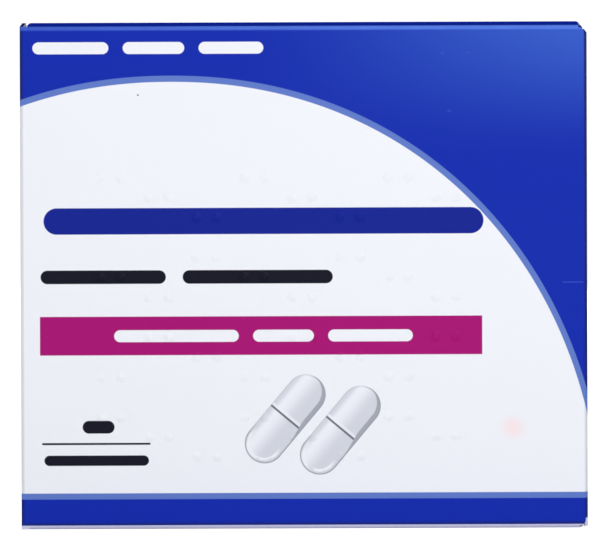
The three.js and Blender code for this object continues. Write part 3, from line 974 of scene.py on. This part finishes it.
def add_tablet(sheet, middle, size):
    half_width, half_thick, half_length = size / 2
    marks = TABLET_MARKS + [-SCORE_HALF, SCORE_HALF, -SCORE_HALF / 2, SCORE_HALF / 2]
    profile = tablet_profile(half_thick)
    rows = []
    for side, steps in ((-1, profile[::-1]), (1, profile)):
        for share, height in steps:
            inset = half_width * share
            rise = min(1.0, share * SCORE_RISE)
            row = []
            for x, z in stadium_ring(half_width - inset, half_length - inset, marks):
                groove = SCORE_DEPTH * max(0.0, 1 - abs(z) / SCORE_HALF) * rise
                row.append((middle.x + x, middle.y + side * (height - groove), middle.z + z))
            rows.append(row)
    sheet.patch(rows)


def pocket_profile(depth):
    """Pairs of how much wider than its floor a pocket is, and how deep, in the film's middle."""
    wide = POCKET_DRAFT + POCKET_FILLET
    foot = [
        (wide - POCKET_FILLET * math.sin(t), POCKET_FILLET * (1 - math.cos(t)))
        for t in spread(0, QUARTER, FOOT_STEPS)
    ]
    round_from = depth - POCKET_ROUNDING
    end = [
        (-POCKET_ROUNDING * (1 - math.cos(t)), round_from + POCKET_ROUNDING * math.sin(t))
        for t in spread(0, QUARTER, ROUNDING_STEPS)
    ]
    return foot + end


def flange(sheet, low, high, y, holes):
    """The flat film round the pockets, triangulated between its outline and their feet."""
    left, right = low.x + FLANGE_CORNER, high.x - FLANGE_CORNER
    bottom, top = low.z + FLANGE_CORNER, high.z - FLANGE_CORNER
    corners = [
        arc((left, bottom), FLANGE_CORNER, math.pi, 1.5 * math.pi, ROUND_STEPS),
        arc((right, bottom), FLANGE_CORNER, 1.5 * math.pi, 2 * math.pi, ROUND_STEPS),
        arc((right, top), FLANGE_CORNER, 0, 0.5 * math.pi, ROUND_STEPS),
        arc((left, top), FLANGE_CORNER, 0.5 * math.pi, math.pi, ROUND_STEPS),
    ]
    shape = bmesh.new()
    for loop in [chain(*corners)] + holes:
        points = [shape.verts.new((x, y, z)) for x, z in loop]
        for point, after in zip(points, points[1:] + points[:1]):
            shape.edges.new((point, after))
    bmesh.ops.triangle_fill(shape, edges=shape.edges[:], use_beauty=True, normal=(0, 1, 0))
    for face in shape.faces:
        sheet.faces.append([sheet.vertex(tuple(corner.co)) for corner in face.verts])
    shape.free()


def make_tablets(label, names, boxes):
    """A strip's tablets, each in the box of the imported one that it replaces."""
    tablets = Sheet()
    for low, high in boxes:
        add_tablet(tablets, (low + high) / 2, high - low)
    coat = new_object(label + "_tablets", tablets.vertices, tablets.faces, [COAT])
    settle(coat, SHARP)
    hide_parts(*names)
    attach(coat, "pack")


def make_tray(label, boxes, side):
    """A strip's film, with a pocket round each tablet."""
    low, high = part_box(label + "_blister_tray")
    face = (high.y if side < 0 else low.y) + side * FILM / 2
    depth = high.y - low.y - FILM
    tray = Sheet()
    feet = []
    for box_low, box_high in boxes:
        middle, half = (box_low + box_high) / 2, (box_high - box_low) / 2
        rows = []
        for wider, deep in pocket_profile(depth):
            grow = POCKET_GAP + FILM / 2 + wider
            ring = [(middle.x + x, middle.z + z) for x, z in stadium_ring(half.x + grow, half.z + grow)]
            rows.append([(x, face + side * deep, z) for x, z in ring])
        feet.append([(x, z) for x, y, z in rows[0][:-1]])
        floor = stadium_ring(POCKET_SPINE, half.z - half.x)
        rows.append([(middle.x + x, face + side * depth, middle.z + z) for x, z in floor])
        tray.patch(rows)
    flange(tray, low, high, face, feet)
    film = new_object(label + "_tray", tray.vertices, tray.faces, [CLEAR])
    settle(film, FILM_SHARP, FILM)
    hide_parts(label + "_blister_tray")
    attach(film, "pack")


def make_strip(label, side):
    """A strip's tray and tablets; its pockets bulge towards -Y where side is -1."""
    names = [name for name in frame["nodes"] if name.startswith(label + "_tablet_")]
    boxes = [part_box(name) for name in names]
    make_tablets(label, names, boxes)
    make_tray(label, boxes, side)


FILM_TINT = srgb(238, 243, 247)
FILM_CLEARNESS = 0.9
FILM_RELIEF = 0.05 * MM
FOIL_LIGHT = srgb(205, 208, 212)
FOIL_DARK = srgb(188, 191, 196)
KNURL_TURN = 6.0
KNURL_RELIEF = 0.03 * MM
COAT_LIGHT = srgb(247, 246, 241)
COAT_DARK = srgb(238, 236, 228)
GRAIN_RELIEF = 0.02 * MM
PAPER_LIGHT = srgb(246, 245, 240)
PAPER_DARK = srgb(234, 232, 225)
PAPER_INK = srgb(120, 122, 130)
PAPER_LINE_TURN = 5.2
PAPER_LINES = (0.55, 0.8)
PAPER_BREAKS = (0.42, 0.5)
PAPER_BREAK_STRETCH = (1, 1, 0.2)
PAPER_INK_SHARE = 0.7


def clear_film():
    surface = Surface("clear_film", roughness=0.12, specular=0.5)
    surface.shader.inputs["Base Color"].default_value = FILM_TINT
    surface.shader.inputs["Transmission Weight"].default_value = FILM_CLEARNESS
    surface.shader.inputs["IOR"].default_value = 1.45
    surface.bump(surface.noise(scale=90, detail=2), FILM_RELIEF)
    return surface.material


def lidding_foil():
    """Soft aluminium with the fine knurl of the sealing roller."""
    surface = Surface("lidding_foil", roughness=0.32)
    surface.shader.inputs["Metallic"].default_value = 1.0
    cloud = surface.noise(scale=200, detail=3)
    surface.set("Base Color", surface.mix(FOIL_LIGHT, FOIL_DARK, cloud))
    knurl = (surface.x * KNURL_TURN).math("SINE") * (surface.z * KNURL_TURN).math("SINE")
    surface.bump(knurl, KNURL_RELIEF)
    return surface.material


def tablet_coat():
    surface = Surface("tablet_coat", roughness=0.5, specular=0.4)
    cloud = surface.noise(scale=500, detail=3)
    surface.set("Base Color", surface.mix(COAT_LIGHT, COAT_DARK, cloud))
    surface.bump(surface.noise(scale=2500, detail=3), GRAIN_RELIEF)
    return surface.material


def leaflet_paper():
    """Thin paper with faint broken grey lines across it."""
    surface = Surface("leaflet_paper", roughness=0.85, specular=0.2)
    lines = (surface.z * PAPER_LINE_TURN).math("SINE").step(*PAPER_LINES)
    breaks = surface.noise(scale=700, detail=1, stretch=PAPER_BREAK_STRETCH).step(*PAPER_BREAKS)
    paper = surface.mix(PAPER_LIGHT, PAPER_DARK, surface.noise(scale=300, detail=3))
    surface.set("Base Color", surface.mix(paper, PAPER_INK, lines * breaks * PAPER_INK_SHARE))
    surface.bump(surface.noise(scale=1800, detail=4), GRAIN_RELIEF)
    return surface.material


def dress(node, material):
    node.data.materials.clear()
    node.data.materials.append(material)


CLEAR, LIDDING, COAT, PAPER = clear_film(), lidding_foil(), tablet_coat(), leaflet_paper()
make_strip("front", -1)
make_strip("back", 1)
dress(frame["nodes"]["front_blister_foil"], LIDDING)
dress(frame["nodes"]["back_blister_foil"], LIDDING)
dress(frame["nodes"]["leaflet"], PAPER)


# The floor, the light and the camera

PIXELS_PER_METRE = 7.985 / MM
FRAME_WIDTH = 600
FRAME_HEIGHT = 544
FACE_MIDDLE = (304, 277.4)
CAMERA_DISTANCE = 2.0
CAMERA_RISE = math.radians(1.4)
CAMERA_ROLL = math.radians(0.2)
CAMERA_END = 20
SENSOR = 36.0

FLOOR_HALF = 3.0
FLOOR_DROP = 0.02 * MM
FLOOR_GREY = 0.82
FLOOR_GLOW = 0.75
AMBIENT = 0.35
WHITE = (1, 1, 1, 1)

# Each lamp's name, place, width in metres and power in watts
LAMPS = [
    ("key", (0.08, -0.37, 0.15), 0.08, 0.70),
    ("fill", (-0.6, -0.5, 0.2), 0.6, 0.96),
    ("back", (0.1, 0.7, 0.12), 0.6, 2.2),
    ("left", (-0.75, 0.32, 0.12), 0.5, 2.2),
    ("right", (0.75, 0.32, 0.12), 0.5, 2.2),
]


def shown(tree):
    """1 for the rays that show the background: from the camera, off a gloss or through clear film."""
    path = tree.nodes.new("ShaderNodeLightPath")
    camera, glossy, through = (
        Value(tree, path.outputs[f"Is {kind} Ray"]) for kind in ("Camera", "Glossy", "Transmission")
    )
    return camera.larger(glossy).larger(through)


def make_floor():
    corners = [(x * FLOOR_HALF, y * FLOOR_HALF, -FLOOR_DROP) for x, y in ((-1, -1), (1, -1), (1, 1), (-1, 1))]
    surface = Surface("floor", roughness=0.9, specular=0.0)
    surface.shader.inputs["Base Color"].default_value = (FLOOR_GREY, FLOOR_GREY, FLOOR_GREY, 1)
    surface.shader.inputs["Emission Color"].default_value = WHITE
    surface.set("Emission Strength", shown(surface.tree) * FLOOR_GLOW)
    new_object("floor", corners, [(0, 1, 2, 3)], [surface.material], smooth=False)


def make_world():
    world = bpy.data.worlds.new("studio")
    world.use_nodes = True
    bpy.context.scene.world = world
    tree = world.node_tree
    background = tree.nodes["Background"]
    background.inputs["Color"].default_value = WHITE
    strength = shown(tree) * (1 - AMBIENT) + AMBIENT
    tree.links.new(strength.socket, background.inputs["Strength"])


def lamp(name, place, size, power):
    """A square lamp that faces the carton's middle."""
    data = bpy.data.lights.new(name, "AREA")
    data.size = size
    data.energy = power
    made = bpy.data.objects.new(name, data)
    made.location = place
    made.rotation_euler = (MIDDLE - Vector(place)).to_track_quat("-Z", "Y").to_euler()
    bpy.context.scene.collection.objects.link(made)


def make_camera():
    data = bpy.data.cameras.new("camera")
    camera = bpy.data.objects.new("camera", data)
    bpy.context.scene.collection.objects.link(camera)
    bpy.context.scene.camera = camera
    data.sensor_width = SENSOR
    data.clip_end = CAMERA_END
    rise = HEIGHT + CAMERA_DISTANCE * math.tan(CAMERA_RISE)
    camera.location = (0, FRONT - CAMERA_DISTANCE, rise)
    middle = Vector(((FRAME_WIDTH / 2 - FACE_MIDDLE[0]) / PIXELS_PER_METRE, FRONT, HEIGHT / 2))
    middle.z += (FACE_MIDDLE[1] - FRAME_HEIGHT / 2) / PIXELS_PER_METRE
    away = middle - camera.location
    data.lens = SENSOR * away.length * PIXELS_PER_METRE / FRAME_WIDTH
    camera.rotation_mode = "QUATERNION"
    roll = Quaternion(away.normalized(), CAMERA_ROLL)
    camera.rotation_quaternion = roll @ away.to_track_quat("-Z", "Y")


make_floor()
make_world()
for settings in LAMPS:
    lamp(*settings)
make_camera()

bpy.context.scene.view_settings.view_transform = "Standard"
